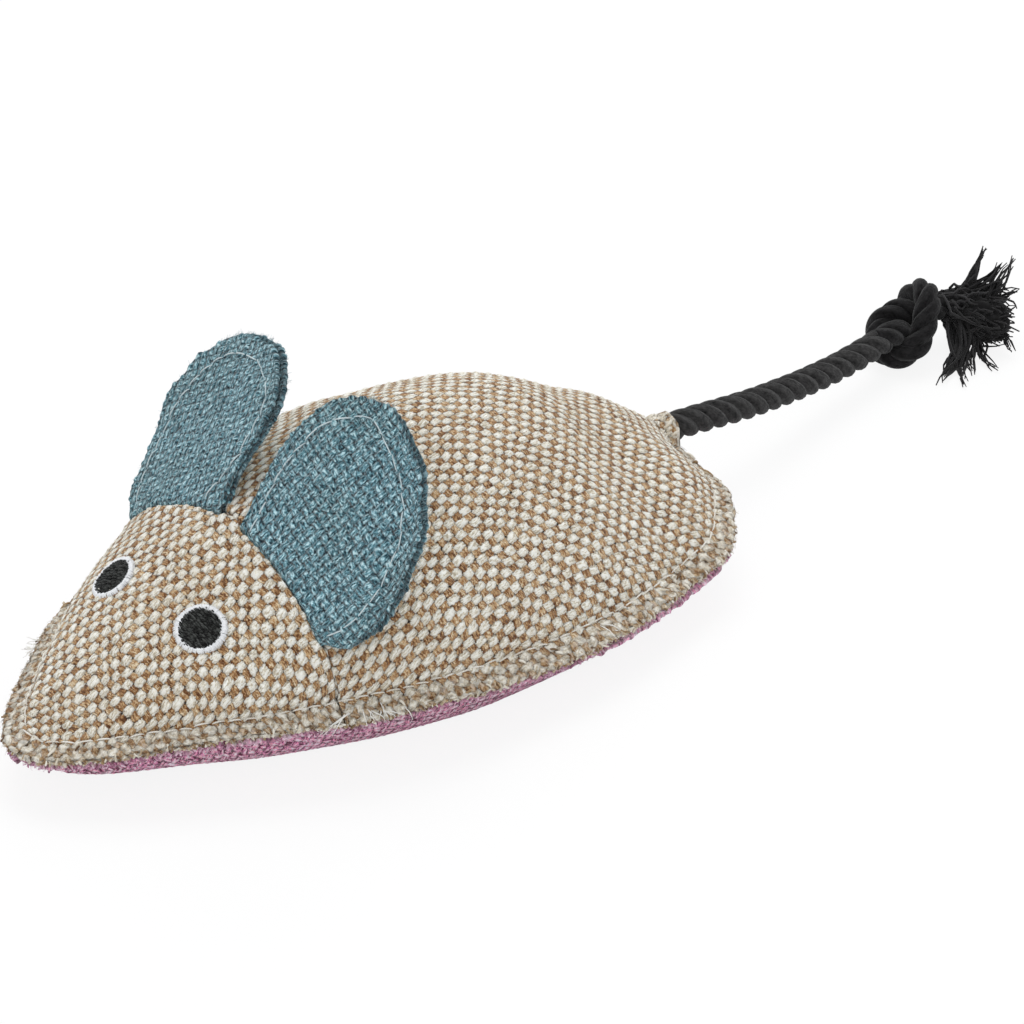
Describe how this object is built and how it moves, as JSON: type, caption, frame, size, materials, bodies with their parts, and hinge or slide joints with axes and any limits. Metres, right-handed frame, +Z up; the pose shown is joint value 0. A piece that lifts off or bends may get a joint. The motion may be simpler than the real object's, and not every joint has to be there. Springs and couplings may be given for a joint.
{
  "type": "catnip mouse",
  "caption": "Stuffed cloth mouse cat toy with sewn panels, folding layered ears, embroidered eyes and a knotted rope tail.",
  "frame": {"origin": "on the surface that the mouse rests on, under the middle of the stitched body, leaving out the rope tail", "axes": "+Z up, +Y from nose to tail, +X the mouse's own left side"},
  "size_m": [0.0918, 0.3017, 0.0756],
  "materials": {
    "top_cloth": "cream and brown hopsack, coarse and matt",
    "belly_cloth": "mauve plain weave, matt",
    "ear_cloth": "blue-green basket weave, matt and slightly fuzzy",
    "seam_thread": "off-white cotton sewing thread",
    "ear_thread": "pale blue sewing thread",
    "eye_white": "white satin stitch, soft sheen",
    "eye_black": "black satin stitch, soft sheen",
    "filling": "white polyester filling",
    "catnip": "dried green herb",
    "rope": "black twisted cotton rope, matt"
  },
  "bodies": {
    "body": {"head_panel": "top_cloth", "back_panel": "top_cloth", "belly_panel": "belly_cloth", "perimeter_thread": "seam_thread", "head_seam_thread": "seam_thread", "ear_left_seam_tab": "ear_cloth", "ear_right_seam_tab": "ear_cloth", "eye_left_ring": "eye_white", "eye_left_pupil": "eye_black", "eye_right_ring": "eye_white", "eye_right_pupil": "eye_black", "stuffing_upper": "filling", "stuffing_lower": "filling", "catnip_wad": "catnip", "tail_rope": "rope", "tail_knot": "rope", "tail_tuft": "rope"},
    "ear_left": {"ear_left_front_ply": "ear_cloth", "ear_left_back_ply": "ear_cloth", "ear_left_topstitch": "ear_thread"},
    "ear_right": {"ear_right_front_ply": "ear_cloth", "ear_right_back_ply": "ear_cloth", "ear_right_topstitch": "ear_thread"}
  },
  "joints": [
    {"name": "ear_left_fold", "type": "hinge", "parent": "body", "child": "ear_left", "pos_m": [0.0062, -0.0373, 0.04853], "axis": [0.8396, 0, -0.5432], "range_deg": [-12, 45], "stiffness_Nm_per_rad": 0.012},
    {"name": "ear_right_fold", "type": "hinge", "parent": "body", "child": "ear_right", "pos_m": [-0.0024, -0.0373, 0.04938], "axis": [0.8738, 0, 0.4864], "range_deg": [-12, 45], "stiffness_Nm_per_rad": 0.012}
  ]
}
